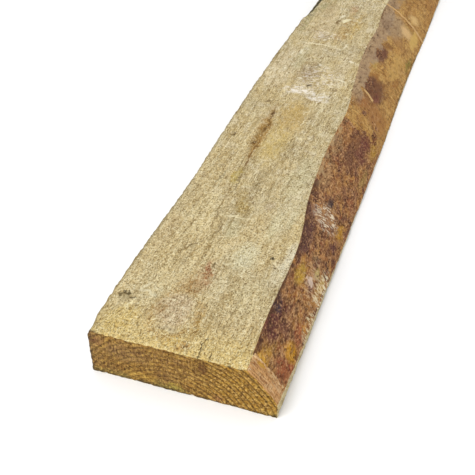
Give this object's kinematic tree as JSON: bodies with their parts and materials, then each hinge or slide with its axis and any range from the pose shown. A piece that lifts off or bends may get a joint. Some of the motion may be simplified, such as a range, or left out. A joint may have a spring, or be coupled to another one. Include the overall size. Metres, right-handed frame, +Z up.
{
  "type": "waney-edged timber plank",
  "caption": "Long rough-sawn softwood plank of rectangular section, lying flat, with one square edge and one waney edge where the log's round outside and its bark remain.",
  "frame": {"origin": "on the sawn bottom face, under the middle of the plank's bounding box, where it lies on a level floor", "axes": "+Y along the plank's length, with the end that shows in the picture at -Y; +Z up through its thickness; +X across its width, towards the waney edge"},
  "size_m": [0.177, 1.8, 0.05],
  "materials": {
    "sawn_timber": "rough sawn, matte"
  },
  "bodies": {
    "root": {"plank": "sawn_timber"}
  },
  "joints": []
}
